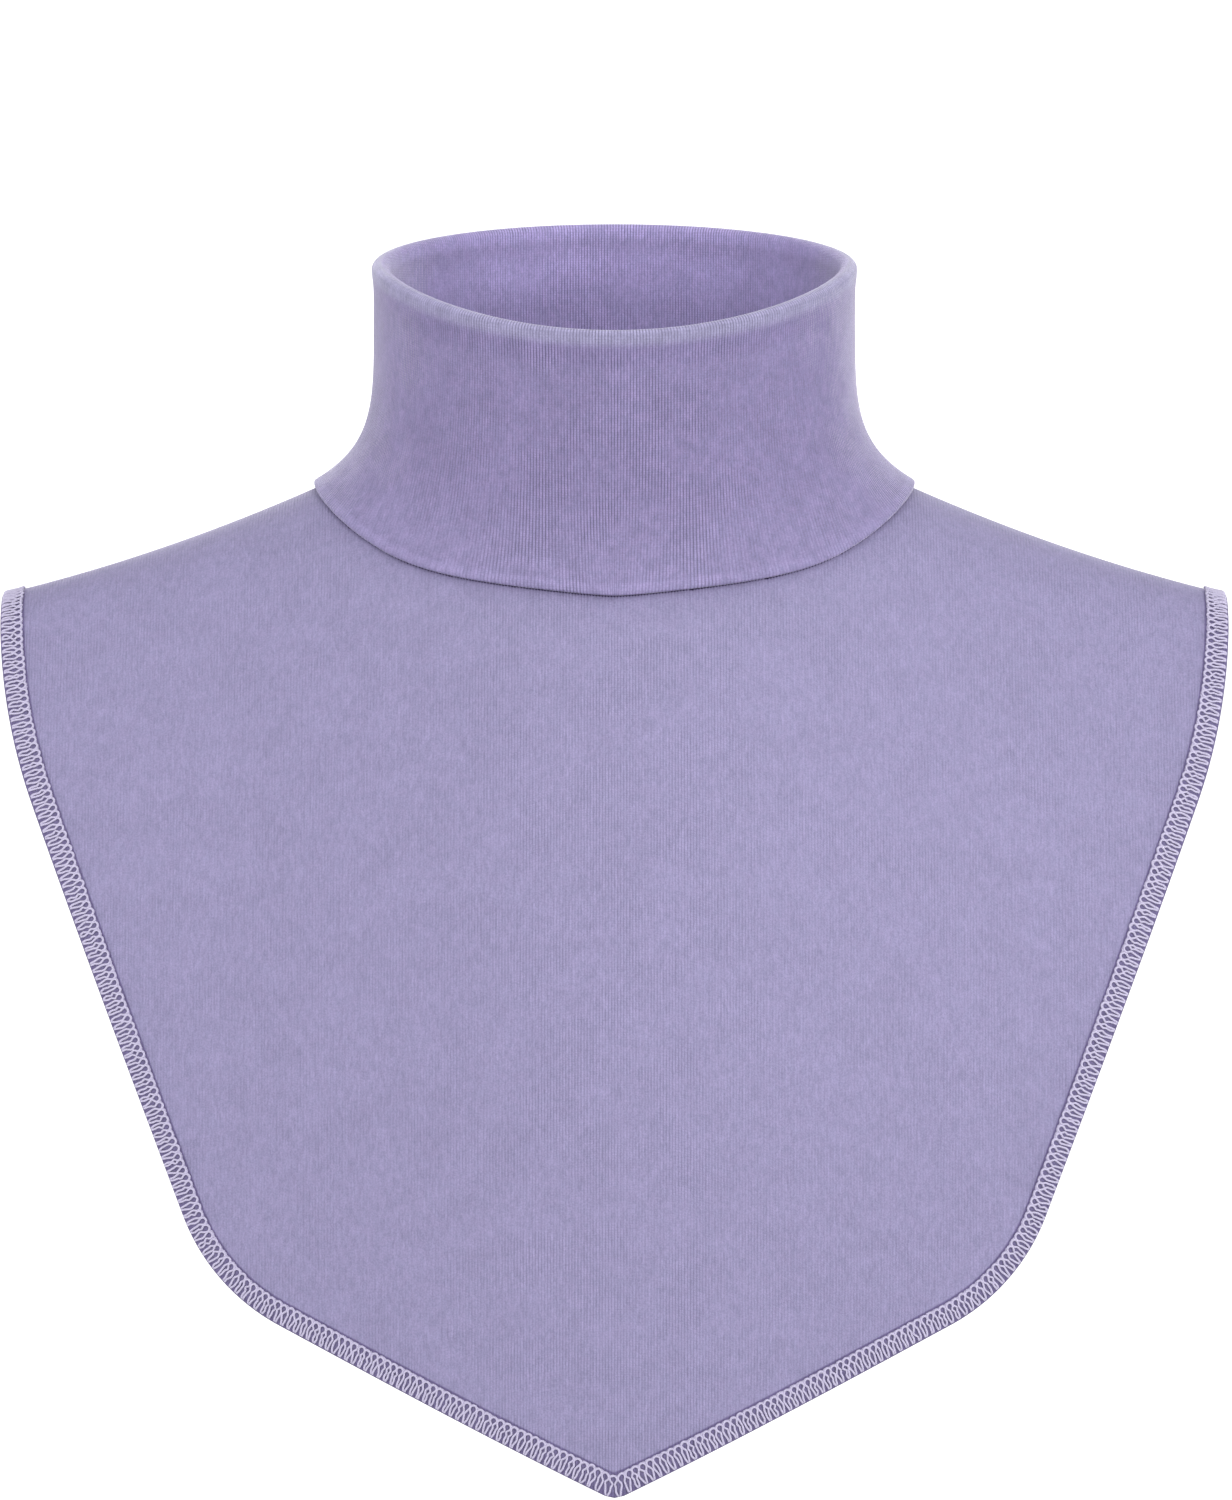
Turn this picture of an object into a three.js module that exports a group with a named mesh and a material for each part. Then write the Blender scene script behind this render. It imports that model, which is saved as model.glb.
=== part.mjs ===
// Turtleneck dickey: a folded-over knit collar on a pointed bib that lies over both shoulders, with the
// bib's whole outer edge overlocked. It keeps the form that it has when worn. Millimetres, +Z up, the
// front faces -Y. The origin is the centre of the neck opening, level with the neck seam on the
// shoulders.
import * as THREE from 'three';

// Cloth and thread
const bibWall = 1.2;
const collarWall = 1.6;
const threadLayer = 0.5;
const seamGap = 0.3;
const restGap = 0.5;

// Neck opening of the bib, seen from above
const neckHalfWidth = 59.5;
const neckFrontDepth = 58;
const neckBackDepth = 50;

// Shoulder line: its half length over the overlocked edges, and its fall in degrees beside the neck and
// at its end
const bibHalfWidth = 161.5;
const shoulderFallAtNeck = 26;
const shoulderFallAtEnd = 13.5;

// How far below the origin the front and the back point hang, and the radius that rounds them
const frontLength = 264;
const backLength = 220;
const tipRound = 6;

// How the bib lies in each fore-and-aft section: a round over the shoulder through an angle, a fuller
// round over the chest or back until it hangs straight, and then a plain drop. Rounds are given on the
// middle line and at the shoulder's end, as shares of the bib's half width.
const lie = {
  front: {
    turnDegrees: 55,
    shoulderAtMiddle: 0.433,
    shoulderAtEnd: 0.149,
    swellAtMiddle: 1.672,
    swellAtEnd: 1.362,
  },
  back: {
    turnDegrees: 55,
    shoulderAtMiddle: 0.557,
    shoulderAtEnd: 0.136,
    swellAtMiddle: 0.867,
    swellAtEnd: 0.681,
  },
};

// Outline of each panel as it hangs. The bend, where the side leaves the shoulder's end, and the lower
// side corner are depths below the origin, and they and their rounds are shares of the panel's length.
// The corner's place across is a share of the bib's half width.
const cut = {
  front: {
    length: frontLength,
    bend: 0.242,
    bendRound: 0.568,
    corner: 0.807,
    cornerAcross: 0.65,
    cornerRound: 0.19,
  },
  back: {
    length: backLength,
    bend: 0.282,
    bendRound: 0.545,
    corner: 0.782,
    cornerAcross: 0.681,
    cornerRound: 0.227,
  },
};

// Overlocked edge
const overlockWidth = 6;

// Collar: the height of its folded rim over the origin, the rim's tilt in degrees, how far its front
// sags below that tilt, and how far it leans forward
const rimHeight = 51;
const rimTilt = 8.3;
const rimSagAtFront = 7.3;
const rimForward = 4;
const airInFold = 0.8;

// How far the turned-down edge stands out past the neck opening, the powers of its oval, how late it
// starts to flare, and how much steeper than the bib under it the cloth still is where it lands
const flareAtSide = 18.5;
const flareAtFront = 11;
const flareAtBack = 14;
const flareOval = { across: 1.7, along: 2.4 };
const flareLateness = 6.3;
const landingSlope = 0.15;

// Facets. The closer stations over the shoulder reach this many times as far as its round.
const shoulderStretch = 2;
const stationsOverShoulder = 6;
const stationsDownSide = 16;
const stationsPerTipRound = 3;
const bibRows = 10;
const collarStations = 52;
const standRows = 4;
const foldRows = 5;
const turndownRows = 9;
const outlineSamples = 400;

const up = new THREE.Vector3(0, 0, 1);
const radians = THREE.MathUtils.degToRad;
const mix = THREE.MathUtils.lerp;

// Height of the shoulder line: a low arch over the neck opening, then a fall that eases towards the end.
function ridgeHeight(across) {
  const out = Math.abs(across);
  const steep = Math.tan(radians(shoulderFallAtNeck));
  const easy = Math.tan(radians(shoulderFallAtEnd));
  if (out < neckHalfWidth) {
    return (steep * (neckHalfWidth ** 2 - out ** 2)) / (2 * neckHalfWidth);
  }
  const past = out - neckHalfWidth;
  const length = bibHalfWidth - neckHalfWidth;
  return -past * (steep + ((easy - steep) * past) / (2 * length));
}

// The fore-and-aft section at a distance across: its two rounds, and the reach, drop and length where
// each ends.
function sectionAt(across, side) {
  const share = (1 - Math.cos((Math.PI * across) / bibHalfWidth)) / 2;
  const turn = radians(side.turnDegrees);
  const first = bibHalfWidth * mix(side.shoulderAtMiddle, side.shoulderAtEnd, share);
  const second = bibHalfWidth * mix(side.swellAtMiddle, side.swellAtEnd, share);
  const firstEnd = {
    reach: first * Math.sin(turn),
    drop: first * (1 - Math.cos(turn)),
    length: first * turn,
  };
  const secondEnd = {
    reach: firstEnd.reach + second * (1 - Math.sin(turn)),
    drop: firstEnd.drop + second * Math.cos(turn),
    length: firstEnd.length + second * (Math.PI / 2 - turn),
  };
  return { turn, first, second, firstEnd, secondEnd };
}

// Length along a section to a given drop below the shoulder line.
function lengthAtDrop(across, drop, side) {
  const { turn, first, second, firstEnd, secondEnd } = sectionAt(across, side);
  if (drop < firstEnd.drop) {
    return first * Math.acos(1 - Math.max(drop, 0) / first);
  }
  if (drop < secondEnd.drop) {
    const cosine = Math.cos(turn) - (drop - firstEnd.drop) / second;
    return firstEnd.length + second * (Math.acos(cosine) - turn);
  }
  return secondEnd.length + drop - secondEnd.drop;
}

// Length along a section to a given reach in front of, or behind, the shoulder line.
function lengthAtReach(across, reach, side) {
  const { turn, first, second, firstEnd } = sectionAt(across, side);
  if (reach < firstEnd.reach) {
    return first * Math.asin(reach / first);
  }
  const sine = Math.min(Math.sin(turn) + (reach - firstEnd.reach) / second, 1);
  return firstEnd.length + second * (Math.asin(sine) - turn);
}

// A point of the bib's upper face. The flat place is (x across, y along): along runs over the cloth
// from the shoulder line, forwards where it is positive and backwards where it is negative.
function lay(flat) {
  const side = flat.y < 0 ? lie.back : lie.front;
  const facing = flat.y < 0 ? 1 : -1;
  const length = Math.abs(flat.y);
  const { turn, first, second, firstEnd, secondEnd } = sectionAt(flat.x, side);
  let reach = secondEnd.reach;
  let drop = secondEnd.drop + length - secondEnd.length;
  if (length < firstEnd.length) {
    reach = first * Math.sin(length / first);
    drop = first * (1 - Math.cos(length / first));
  } else if (length < secondEnd.length) {
    const angle = turn + (length - firstEnd.length) / second;
    reach = firstEnd.reach + second * (Math.sin(angle) - Math.sin(turn));
    drop = firstEnd.drop + second * (Math.cos(turn) - Math.cos(angle));
  }
  return new THREE.Vector3(flat.x, facing * reach, ridgeHeight(flat.x) - drop);
}

// Direction out of the bib's upper face, from four places close round a flat place.
function faceNormal(flat) {
  const close = 0.5;
  const beside = (x, y) => lay(new THREE.Vector2(flat.x + x, flat.y + y));
  const acrossStep = beside(close, 0).sub(beside(-close, 0));
  const alongStep = beside(0, close).sub(beside(0, -close));
  return alongStep.cross(acrossStep).normalize();
}

// A point at some height over the upper face, or under it where the height is negative.
function layAt(flat, height) {
  return lay(flat).addScaledVector(faceNormal(flat), height);
}

// The flat place under a point that is given from above.
function flatUnder(x, y) {
  const length = lengthAtReach(x, Math.abs(y), y > 0 ? lie.back : lie.front);
  return new THREE.Vector2(x, y > 0 ? -length : length);
}

// The flat place at an angle round an oval that is given from above, 0 on the +X side. The powers are
// those of the oval's equation: 2 and 2 make an ellipse, and larger ones are fuller.
const ellipse = { across: 2, along: 2 };

function flatOnOval(angle, halfWidth, frontDepth, backDepth, powers) {
  const rounded = (value, power) => Math.sign(value) * Math.abs(value) ** (2 / power);
  const depth = Math.sin(angle) < 0 ? backDepth : frontDepth;
  const across = halfWidth * rounded(Math.cos(angle), powers.across);
  return flatUnder(across, -depth * rounded(Math.sin(angle), powers.along));
}

// Rounds one corner of a path with an arc. The arc takes no more than half of either side.
function addRound(path, before, corner, after, radius) {
  const toBefore = before.clone().sub(corner);
  const toAfter = after.clone().sub(corner);
  const room = Math.min(toBefore.length(), toAfter.length()) / 2;
  const half = toBefore.angleTo(toAfter) / 2;
  const setback = Math.min(radius / Math.tan(half), room);
  const start = corner.clone().addScaledVector(toBefore.normalize(), setback);
  const end = corner.clone().addScaledVector(toAfter.normalize(), setback);
  const arcRadius = setback * Math.tan(half);
  const inward = toBefore.add(toAfter).normalize();
  const centre = corner.clone().addScaledVector(inward, arcRadius / Math.sin(half));
  const startAngle = Math.atan2(start.y - centre.y, start.x - centre.x);
  const endAngle = Math.atan2(end.y - centre.y, end.x - centre.x);
  const clockwise = start.clone().sub(centre).cross(end.clone().sub(centre)) < 0;
  path.lineTo(start.x, start.y);
  path.absarc(centre.x, centre.y, arcRadius, startAngle, endAngle, clockwise);
}

// Points along a row of flat points, both ends included: some evenly spaced steps over a first stretch,
// and then the rest evenly over what is left.
function spaceOut(points, stretch, stepsInStretch, stepsAfter) {
  const lengths = [0];
  for (let i = 1; i < points.length; i += 1) {
    lengths.push(lengths[i - 1] + points[i].distanceTo(points[i - 1]));
  }
  const total = lengths[lengths.length - 1];
  const first = Math.min(stretch, total / 2);
  const spaced = [];
  for (let k = 0; k <= stepsInStretch + stepsAfter; k += 1) {
    const past = k - stepsInStretch;
    const wanted = past < 0 ? (first * k) / stepsInStretch : mix(first, total, past / stepsAfter);
    const next = lengths.findIndex((length) => length > wanted);
    const at = next < 0 ? points.length - 1 : next;
    const share = (wanted - lengths[at - 1]) / (lengths[at] - lengths[at - 1]);
    spaced.push(points[at - 1].clone().lerp(points[at], share));
  }
  return spaced;
}

// Half of a panel's outline, from the shoulder's end on the +X side to the point, as flat places. It is
// drawn as seen from the front, x across and y up, and then laid along the sections.
function halfOutline(shape, side) {
  const shoulder = new THREE.Vector2(bibHalfWidth, ridgeHeight(bibHalfWidth));
  const bend = new THREE.Vector2(bibHalfWidth, -shape.length * shape.bend);
  const corner = new THREE.Vector2(bibHalfWidth * shape.cornerAcross, -shape.length * shape.corner);
  const tip = new THREE.Vector2(0, -shape.length);
  const farCorner = new THREE.Vector2(-corner.x, corner.y);
  const path = new THREE.Path().moveTo(shoulder.x, shoulder.y);
  // The side is drawn on past the shoulder, so that the bend's round may take all of it.
  const pastShoulder = shoulder.clone().multiplyScalar(2).sub(bend);
  addRound(path, pastShoulder, bend, corner, shape.length * shape.bendRound);
  addRound(path, bend, corner, tip, shape.length * shape.cornerRound);
  addRound(path, corner, tip, farCorner, tipRound);
  const tipArc = path.curves[path.curves.length - 1];
  const flatten = (point) => new THREE.Vector2(
    point.x,
    lengthAtDrop(point.x, ridgeHeight(point.x) - point.y, side),
  );
  const edge = path.getSpacedPoints(outlineSamples).filter((point) => point.y > tipArc.getPoint(0).y);
  const halfTip = tipArc.getSpacedPoints(2 * stationsPerTipRound).slice(0, stationsPerTipRound + 1);
  const flatEdge = [...edge, halfTip[0]].map(flatten);
  const overShoulder = shoulderStretch * sectionAt(bibHalfWidth, side).firstEnd.length;
  const stations = spaceOut(flatEdge, overShoulder, stationsOverShoulder, stationsDownSide);
  return [...stations, ...halfTip.slice(1).map(flatten)];
}

// The whole outline as a closed ring of flat places: front +X, front -X, back -X, back +X.
function outlineRing() {
  const front = halfOutline(cut.front, lie.front);
  const back = halfOutline(cut.back, lie.back);
  const flip = (point, x, y) => new THREE.Vector2(point.x * x, point.y * y);
  return [
    ...front.slice(0, -1),
    ...front.slice(1).reverse().map((point) => flip(point, -1, 1)),
    ...back.slice(0, -1).map((point) => flip(point, -1, -1)),
    ...back.slice(1).reverse().map((point) => flip(point, 1, -1)),
  ];
}

// Each station joins a point of the neck opening to one of the outline. Insets are measured over the laid
// cloth, square to its edge.
function bibStations() {
  const ring = outlineRing();
  return ring.map((edge, i) => {
    const angle = (2 * Math.PI * i) / ring.length;
    const neck = flatOnOval(angle, neckHalfWidth, neckFrontDepth, neckBackDepth, ellipse);
    const before = ring[(i + ring.length - 1) % ring.length];
    const after = ring[(i + 1) % ring.length];
    const along = lay(after).sub(lay(before)).normalize();
    const inward = neck.clone().sub(edge).normalize();
    const step = lay(edge.clone().add(inward)).sub(lay(edge));
    const squareness = step.cross(along).length();
    const inset = (distance) => edge.clone().addScaledVector(inward, distance / squareness);
    return { neck, inset };
  });
}

// A closed body from a ring of closed sections that all have the same number of points. Each four-sided
// patch is split along its shorter diagonal, so that faces that lie on each other are split alike.
function ringBody(sections, name, material) {
  const size = sections[0].length;
  const points = sections.flat();
  const positions = points.flatMap((point) => point.toArray());
  const indices = [];
  sections.forEach((section, i) => {
    const next = (i + 1) % sections.length;
    for (let j = 0; j < size; j += 1) {
      const k = (j + 1) % size;
      const [a, b, c, d] = [i * size + j, next * size + j, next * size + k, i * size + k];
      if (points[a].distanceTo(points[c]) < points[b].distanceTo(points[d])) {
        indices.push(a, b, c, a, c, d);
      } else {
        indices.push(a, b, d, b, c, d);
      }
    }
  });
  const geometry = new THREE.BufferGeometry();
  geometry.setAttribute('position', new THREE.Float32BufferAttribute(positions, 3));
  geometry.setIndex(indices);
  geometry.computeVertexNormals();
  const mesh = new THREE.Mesh(geometry, material);
  mesh.name = name;
  return mesh;
}

// The bib is one sheet. Its cut edge stops inside the overlock.
function makeBib(stations, material) {
  const edgeInset = threadLayer + seamGap;
  const sections = stations.map(({ neck, inset }) => {
    const underThread = inset(overlockWidth);
    const row = [];
    for (let j = 0; j <= bibRows; j += 1) {
      row.push(neck.clone().lerp(underThread, j / bibRows));
    }
    row.push(inset(edgeInset));
    const upper = row.map((flat) => layAt(flat, 0));
    const lower = row.map((flat) => layAt(flat, -bibWall));
    return [...upper, ...lower.reverse()];
  });
  return ringBody(sections, 'bib', material);
}

// The overlock is a sleeve of thread that wraps the bib's edge: two lips and a rounded back.
function makeOverlock(stations, material) {
  const top = seamGap + threadLayer;
  const bottom = -bibWall - top;
  const backRound = 2 * threadLayer;
  const section = [
    { inset: overlockWidth, height: top },
    { inset: backRound, height: top },
    { inset: 0, height: top - backRound },
    { inset: 0, height: bottom + backRound },
    { inset: backRound, height: bottom },
    { inset: overlockWidth, height: bottom },
    { inset: overlockWidth, height: -bibWall - seamGap },
    { inset: threadLayer, height: -bibWall - seamGap },
    { inset: threadLayer, height: seamGap },
    { inset: overlockWidth, height: seamGap },
  ];
  const sections = stations.map(({ inset }) => section.map((row) => layAt(inset(row.inset), row.height)));
  return ringBody(sections, 'overlock_edge', material);
}

// The height at which a point stands over the bib's upper face with a given gap, measured square to that
// face.
function heightOverBib(point, gap) {
  const flat = flatUnder(point.x, point.y);
  return lay(flat).z + gap / faceNormal(flat).z;
}

// The middle line of the collar's cloth at one angle: up the stand, over the rim and down to the
// turned-down edge.
function collarLine(angle) {
  const depth = Math.sin(angle) < 0 ? neckBackDepth : neckFrontDepth;
  const outward = new THREE.Vector3(Math.cos(angle) / neckHalfWidth, -Math.sin(angle) / depth, 0);
  outward.normalize();
  const neckFlat = flatOnOval(angle, neckHalfWidth, neckFrontDepth, neckBackDepth, ellipse);
  const foot = lay(neckFlat).addScaledVector(outward, collarWall / 2);
  foot.z = heightOverBib(foot, seamGap);
  const foldRadius = (collarWall + airInFold) / 2;
  const rimDepth = (neckFrontDepth + neckBackDepth) / 2 + rimForward / 2;
  const rim = new THREE.Vector3(
    (neckHalfWidth + collarWall / 2) * Math.cos(angle),
    -rimForward - (rimDepth + collarWall / 2) * Math.sin(angle),
    0,
  );
  const sag = rimSagAtFront * Math.max(Math.sin(angle), 0) ** 2;
  const crest = rimHeight + Math.tan(radians(rimTilt)) * (rim.y + rimForward) - sag;
  rim.z = crest - foldRadius - collarWall / 2;
  const edgeFlat = flatOnOval(
    angle,
    neckHalfWidth + flareAtSide,
    neckFrontDepth + flareAtFront,
    neckBackDepth + flareAtBack,
    flareOval,
  );
  const edge = layAt(edgeFlat, restGap + collarWall / 2);
  const line = [];
  for (let i = 0; i <= standRows; i += 1) {
    line.push(foot.clone().lerp(rim, i / standRows));
  }
  for (let i = 1; i < foldRows; i += 1) {
    const turn = (Math.PI * i) / foldRows;
    const point = rim.clone().addScaledVector(outward, foldRadius * (1 - Math.cos(turn)));
    line.push(point.addScaledVector(up, foldRadius * Math.sin(turn)));
  }
  const hang = (share) => {
    const z = mix(rim.z, edge.z, share);
    const down = (rim.z - z) / (rim.z - foot.z);
    return rim.clone().lerp(foot, down).addScaledVector(outward, 2 * foldRadius);
  };
  const spread = edge.clone().sub(hang(1));
  const slope = faceNormal(edgeFlat);
  const steepness = slope.dot(outward) / slope.z + landingSlope;
  const lateness = Math.min(flareLateness, (rim.z - edge.z) / (spread.length() * steepness));
  for (let i = 0; i <= turndownRows; i += 1) {
    const share = i / turndownRows;
    line.push(hang(share).addScaledVector(spread, share ** lateness));
  }
  return { line, outward };
}

// One closed section of the collar, its cloth's thickness laid to both sides of the middle line.
function collarSection(angle) {
  const { line, outward } = collarLine(angle);
  const faces = line.map((point, i) => {
    const before = line[Math.max(i - 1, 0)];
    const after = line[Math.min(i + 1, line.length - 1)];
    const run = after.clone().sub(before);
    const out = run.dot(outward);
    const rise = run.z;
    const normal = outward.clone().multiplyScalar(-rise).addScaledVector(up, out).normalize();
    return {
      shown: point.clone().addScaledVector(normal, collarWall / 2),
      hidden: point.clone().addScaledVector(normal, -collarWall / 2),
    };
  });
  const foot = [faces[0].shown, faces[0].hidden];
  foot.forEach((point) => point.setZ(heightOverBib(point, seamGap)));
  return [...faces.map((face) => face.shown), ...faces.map((face) => face.hidden).reverse()];
}

function makeCollar(material) {
  const sections = [];
  for (let i = 0; i < collarStations; i += 1) {
    sections.push(collarSection((2 * Math.PI * i) / collarStations));
  }
  return ringBody(sections, 'collar', material);
}

const knit = new THREE.MeshStandardMaterial({ color: 0x9f98bf, roughness: 0.95, metalness: 0 });
const collarKnit = new THREE.MeshStandardMaterial({ color: 0x978db6, roughness: 0.95, metalness: 0 });
const thread = new THREE.MeshStandardMaterial({ color: 0xc2bdd1, roughness: 0.85, metalness: 0 });

const stations = bibStations();
const dickey = new THREE.Group();
dickey.add(makeBib(stations, knit));
dickey.add(makeOverlock(stations, thread));
dickey.add(makeCollar(collarKnit));

export default dickey;
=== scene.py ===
"""Turtleneck dickey: the finish of a knit collar and bib with an overlocked edge. Metres, +Z up, front -Y."""
import math

import bpy
import numpy as np
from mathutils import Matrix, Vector


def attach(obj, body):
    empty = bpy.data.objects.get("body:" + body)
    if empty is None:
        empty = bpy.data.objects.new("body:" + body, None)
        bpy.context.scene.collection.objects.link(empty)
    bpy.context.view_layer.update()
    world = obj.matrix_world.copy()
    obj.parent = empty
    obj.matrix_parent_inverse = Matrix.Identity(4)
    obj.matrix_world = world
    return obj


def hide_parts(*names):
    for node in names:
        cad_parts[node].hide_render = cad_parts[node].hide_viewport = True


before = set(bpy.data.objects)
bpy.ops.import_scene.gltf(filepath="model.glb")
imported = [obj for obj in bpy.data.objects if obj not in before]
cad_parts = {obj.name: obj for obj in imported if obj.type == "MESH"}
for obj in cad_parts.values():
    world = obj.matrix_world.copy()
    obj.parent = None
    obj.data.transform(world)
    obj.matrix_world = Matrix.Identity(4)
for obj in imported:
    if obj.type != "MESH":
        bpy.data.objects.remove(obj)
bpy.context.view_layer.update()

MM = 0.001

# Cloth walls, the gaps between pieces, and how far the bib's cloth stops short of the overlock's outline
BIB_WALL = 1.2 * MM
COLLAR_WALL = 1.6 * MM
SEAM_GAP = 0.3 * MM
REST_GAP = 0.5 * MM
CUT_INSET = 0.2 * MM

# Neck opening of the bib, seen from above
NECK_HALF_WIDTH = 59.5 * MM
NECK_FRONT_DEPTH = 58 * MM
NECK_BACK_DEPTH = 50 * MM

# Shoulder line: its half length, and its fall in degrees beside the neck and at its end
BIB_HALF_WIDTH = 161.5 * MM
SHOULDER_FALL_AT_NECK = 26
SHOULDER_FALL_AT_END = 13.5

# How far below the origin each point hangs, and the radius that rounds it
FRONT_LENGTH = 264 * MM
BACK_LENGTH = 220 * MM
TIP_ROUND = 6 * MM

# The way in from the edge is evened out over this length to either side, so that it turns smoothly.
WAY_IN_BLEND = 2.5 * TIP_ROUND

# How the bib lies in each fore-and-aft section: a round over the shoulder, a fuller round until it hangs
# straight, and a plain drop. The rounds are shares of the bib's half width.
LIE = {
    "front": {"turn": 55, "shoulder_middle": 0.433, "shoulder_end": 0.149,
              "swell_middle": 1.672, "swell_end": 1.362},
    "back": {"turn": 55, "shoulder_middle": 0.557, "shoulder_end": 0.136,
             "swell_middle": 0.867, "swell_end": 0.681},
}

# Outline of each panel as it hangs, in shares of its length and, across, of the bib's half width
CUT = {
    "front": {"length": FRONT_LENGTH, "bend": 0.242, "bend_round": 0.568,
              "corner": 0.807, "corner_across": 0.65, "corner_round": 0.19},
    "back": {"length": BACK_LENGTH, "bend": 0.282, "bend_round": 0.545,
             "corner": 0.782, "corner_across": 0.681, "corner_round": 0.227},
}

# Collar rim and turned-down edge
RIM_HEIGHT = 51 * MM
RIM_TILT = 8.3
RIM_SAG_AT_FRONT = 8.0 * MM
RIM_FORWARD = 4 * MM
AIR_IN_FOLD = 0.8 * MM
FLARE_AT_SIDE = 18.5 * MM
FLARE_AT_FRONT = 11 * MM
FLARE_AT_BACK = 14 * MM
FLARE_OVAL = (1.7, 2.4)
FLARE_LATENESS = 6.3
LANDING_SLOPE = 0.15

# How far from the cut edge and from the collar's edge the bib's painted shade reaches
ZONE_REACH = 12 * MM

# The rim's fold is a soft roll that stands out a little over the cloth below it.
RIM_ROLL = 0.5 * MM
RIM_ROLL_HEIGHT = 3.5 * MM

# Overlock stitches
STITCH_PITCH = 2.0 * MM
THREAD_RADIUS = 0.31 * MM
NEEDLE_LINE = 5.4 * MM

# The legs of a loop bow most at this inset, by this many times the lean of the stitch.
LEG_MIDDLE = 2.4 * MM
LEG_BOW = 1.8

# Knit: the spacing of its ribs and of its rows of stitches
RIB_PITCH = 0.78 * MM
ROW_PITCH = 0.62 * MM

# Camera: where it looks, from how far and how high, and the height of the picture at that distance
LOOK_AT = Vector((0.0004, -0.055, -0.0747))
CAMERA_DISTANCE = 3.0
CAMERA_ELEVATION = 4
PICTURE_HEIGHT = 0.390
SENSOR = 36


# The bib's surface

def ridge_height(across):
    """Height of the shoulder line: a low arch over the neck, then a fall that eases towards the end."""
    out = np.abs(across)
    steep = math.tan(math.radians(SHOULDER_FALL_AT_NECK))
    easy = math.tan(math.radians(SHOULDER_FALL_AT_END))
    arch = steep * (NECK_HALF_WIDTH ** 2 - out ** 2) / (2 * NECK_HALF_WIDTH)
    past = out - NECK_HALF_WIDTH
    fall = past * (steep + (easy - steep) * past / (2 * (BIB_HALF_WIDTH - NECK_HALF_WIDTH)))
    return np.where(out < NECK_HALF_WIDTH, arch, -fall)


class Section:
    """The fore-and-aft sections at places across the bib: two rounds, and where each ends."""

    def __init__(self, across, side):
        share = (1 - np.cos(np.pi * across / BIB_HALF_WIDTH)) / 2
        self.turn = math.radians(side["turn"])
        self.first = BIB_HALF_WIDTH * (side["shoulder_middle"] * (1 - share) + side["shoulder_end"] * share)
        self.second = BIB_HALF_WIDTH * (side["swell_middle"] * (1 - share) + side["swell_end"] * share)
        self.reach1 = self.first * math.sin(self.turn)
        self.drop1 = self.first * (1 - math.cos(self.turn))
        self.length1 = self.first * self.turn
        self.reach2 = self.reach1 + self.second * (1 - math.sin(self.turn))
        self.drop2 = self.drop1 + self.second * math.cos(self.turn)
        self.length2 = self.length1 + self.second * (math.pi / 2 - self.turn)

    def length_at_drop(self, drop):
        on_first = self.first * np.arccos(np.clip(1 - drop / self.first, -1, 1))
        cosine = np.clip(math.cos(self.turn) - (drop - self.drop1) / self.second, 0, 1)
        on_second = self.length1 + self.second * (np.arccos(cosine) - self.turn)
        straight = self.length2 + drop - self.drop2
        return np.where(drop < self.drop1, on_first, np.where(drop < self.drop2, on_second, straight))

    def length_at_reach(self, reach):
        on_first = self.first * np.arcsin(np.clip(reach / self.first, 0, 1))
        sine = np.clip(math.sin(self.turn) + (reach - self.reach1) / self.second, 0, 1)
        on_second = self.length1 + self.second * (np.arcsin(sine) - self.turn)
        return np.where(reach < self.reach1, on_first, on_second)

    def reach_and_drop(self, length):
        a = np.clip(length / self.first, 0, math.pi)
        b = np.clip(self.turn + (length - self.length1) / self.second, 0, math.pi / 2)
        reach = np.where(
            length < self.length1, self.first * np.sin(a),
            np.where(length < self.length2,
                     self.reach1 + self.second * (np.sin(b) - math.sin(self.turn)), self.reach2))
        drop = np.where(
            length < self.length1, self.first * (1 - np.cos(a)),
            np.where(length < self.length2,
                     self.drop1 + self.second * (math.cos(self.turn) - np.cos(b)),
                     self.drop2 + length - self.length2))
        return reach, drop


def lay(across, along):
    """Points of the bib's upper face. Along is over the cloth from the shoulder line, positive forwards."""
    front = Section(across, LIE["front"]).reach_and_drop(np.abs(along))
    back = Section(across, LIE["back"]).reach_and_drop(np.abs(along))
    reach = np.where(along < 0, back[0], -front[0])
    drop = np.where(along < 0, back[1], front[1])
    return np.stack([across + 0 * along, reach, ridge_height(across) - drop], axis=-1)


def face_normal(across, along):
    close = 0.5 * MM
    across_step = lay(across + close, along) - lay(across - close, along)
    along_step = lay(across, along + close) - lay(across, along - close)
    return unit(np.cross(along_step, across_step))


def unit(vectors):
    return vectors / np.linalg.norm(vectors, axis=-1, keepdims=True)


def lay_at(across, along, height):
    return lay(across, along) + face_normal(across, along) * np.asarray(height)[..., None]


def flat_under(x, y):
    """The flat place under points that are given from above."""
    forwards = Section(x, LIE["front"]).length_at_reach(np.abs(y))
    backwards = Section(x, LIE["back"]).length_at_reach(np.abs(y))
    return np.stack([x, np.where(y > 0, -backwards, forwards)], axis=-1)


def flat_on_oval(angle, half_width, front_depth, back_depth, powers=(2, 2)):
    """Flat places round an oval given from above, 0 on the +X side. The powers are its equation's."""
    def rounded(value, power):
        return np.sign(value) * np.abs(value) ** (2 / power)
    depth = np.where(np.sin(angle) < 0, back_depth, front_depth)
    x = half_width * rounded(np.cos(angle), powers[0])
    y = -depth * rounded(np.sin(angle), powers[1])
    return flat_under(x, y)


def flat_under_collar_edge(angle):
    return flat_on_oval(angle, NECK_HALF_WIDTH + FLARE_AT_SIDE, NECK_FRONT_DEPTH + FLARE_AT_FRONT,
                        NECK_BACK_DEPTH + FLARE_AT_BACK, FLARE_OVAL)


# The bib's outline

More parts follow.
